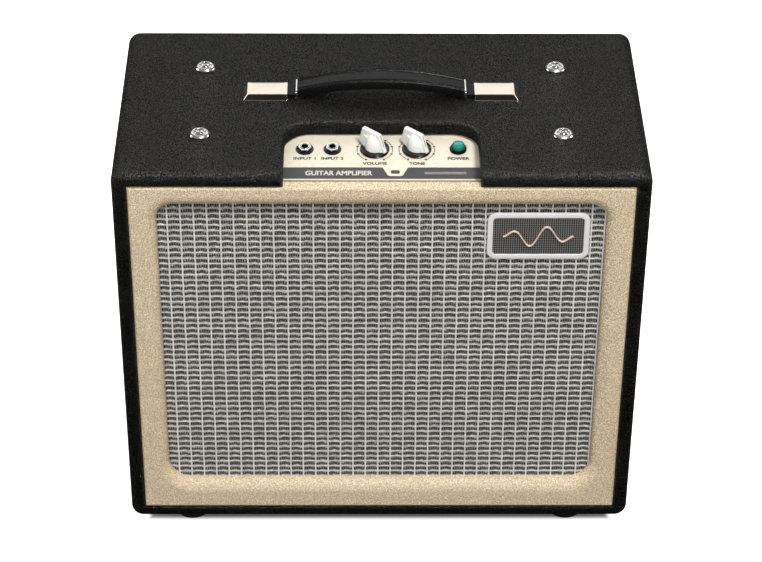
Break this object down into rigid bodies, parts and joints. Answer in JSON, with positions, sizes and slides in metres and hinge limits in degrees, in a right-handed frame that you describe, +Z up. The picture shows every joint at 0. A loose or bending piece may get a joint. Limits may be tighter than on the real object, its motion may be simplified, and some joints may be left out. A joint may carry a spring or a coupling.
{
  "type": "guitar amplifier",
  "caption": "Valve guitar combo amplifier: black covered cabinet with a cream baffle frame, grille cloth, strap handle, top-notch control panel with pointer knobs, and an open back.",
  "frame": {"origin": "centre of the cabinet's footprint, at the bottom of the feet", "axes": "+Z up, +X to the right as seen from the front, the front faces -Y"},
  "size_m": [0.5, 0.26, 0.454],
  "materials": {
    "badge_metal": "pale metal rim with a dark mesh field",
    "basket_paint": "black pressed steel",
    "black_gloss_plastic": "glossy",
    "black_leather": "satin, stitched along its edges",
    "black_matte_plastic": "moulded",
    "black_vinyl": "plywood board covered in black pebbled vinyl, satin",
    "bright_chrome": "polished",
    "can_aluminium": "plain can",
    "chassis_steel": "zinc plated sheet",
    "cone_paper": "dark pressed paper",
    "cream_vinyl": "plywood frame covered in cream pebbled vinyl, satin",
    "foot_rubber": "moulded, matt",
    "grille_cloth": "woven dark cloth with pale threads",
    "ivory_plastic": "semi-gloss",
    "jewel_green": "faceted, clear",
    "magnet_iron": "ceramic magnet between black plates",
    "nickel_plate": "polished nickel plate",
    "panel_enamel": "cream enamel with a dark printed band",
    "plywood": "bare plywood, painted black on its front",
    "surround_cloth": "treated cloth",
    "transformer_iron": "black painted laminations and end bells",
    "tube_glass": "clear blown glass",
    "zinc_steel": "zinc plated"
  },
  "bodies": {
    "cabinet": {"back_cleat_left": "plywood", "back_cleat_right": "plywood", "badge": "badge_metal", "baffle_frame": "cream_vinyl", "bottom_board": "black_vinyl", "chassis": "chassis_steel", "chassis_screw_front_left": "bright_chrome", "chassis_screw_front_right": "bright_chrome", "chassis_screw_rear_left": "bright_chrome", "chassis_screw_rear_right": "bright_chrome", "control_panel": "panel_enamel", "cup_washer_front_left": "bright_chrome", "cup_washer_front_right": "bright_chrome", "cup_washer_rear_left": "bright_chrome", "cup_washer_rear_right": "bright_chrome", "filter_capacitor": "can_aluminium", "foot_front_left": "foot_rubber", "foot_front_right": "foot_rubber", "foot_rear_left": "foot_rubber", "foot_rear_right": "foot_rubber", "grille_cloth": "grille_cloth", "handle_cap_left": "nickel_plate", "handle_cap_right": "nickel_plate", "handle_end_left": "nickel_plate", "handle_end_right": "nickel_plate", "input_jack_1": "bright_chrome", "input_jack_2": "bright_chrome", "lamp_bezel": "black_gloss_plastic", "lamp_jewel": "jewel_green", "left_board": "black_vinyl", "lower_back_panel": "black_vinyl", "mains_inlet": "black_matte_plastic", "output_transformer": "transformer_iron", "pot_tone": "zinc_steel", "pot_volume": "zinc_steel", "power_switch": "zinc_steel", "power_transformer": "transformer_iron", "power_tube": "tube_glass", "preamp_tube_1": "tube_glass", "preamp_tube_2": "tube_glass", "right_board": "black_vinyl", "speaker_baffle": "plywood", "speaker_basket": "basket_paint", "speaker_magnet": "magnet_iron", "speaker_surround": "surround_cloth", "top_board": "black_vinyl", "tube_socket_1": "black_matte_plastic", "tube_socket_2": "black_matte_plastic", "tube_socket_3": "black_matte_plastic", "upper_back_panel": "black_vinyl"},
    "volume_control": {"pot_shaft_volume": "zinc_steel", "knob_skirt_volume": "black_gloss_plastic", "knob_volume": "ivory_plastic"},
    "tone_control": {"pot_shaft_tone": "zinc_steel", "knob_skirt_tone": "black_gloss_plastic", "knob_tone": "ivory_plastic"},
    "switch_lever": {"power_switch_lever": "bright_chrome"},
    "cone": {"speaker_cone": "cone_paper", "dust_cap": "cone_paper"},
    "grip": {"handle_grip": "black_leather"}
  },
  "joints": [
    {"name": "volume_turn", "type": "hinge", "parent": "cabinet", "child": "volume_control", "pos_m": [-0.0062, -0.05969, 0.41393], "axis": [0, -0.1045, 0.9945], "range_deg": [-21, 279]},
    {"name": "tone_turn", "type": "hinge", "parent": "cabinet", "child": "tone_control", "pos_m": [0.0334, -0.05969, 0.41393], "axis": [0, -0.1045, 0.9945], "range_deg": [-21, 279]},
    {"name": "power_switch_throw", "type": "hinge", "parent": "cabinet", "child": "switch_lever", "pos_m": [0.092, 0.116, 0.392], "axis": [1, 0, 0], "range_deg": [0, 24]},
    {"name": "cone_travel", "type": "slide", "parent": "cabinet", "child": "cone", "axis": [0, 1, 0], "range_m": [-0.002, 0.002], "stiffness_N_per_m": 6000},
    {"name": "handle_lift", "type": "slide", "parent": "cabinet", "child": "grip", "axis": [0, 0, 1], "range_m": [0, 0.008], "stiffness_N_per_m": 1500}
  ]
}
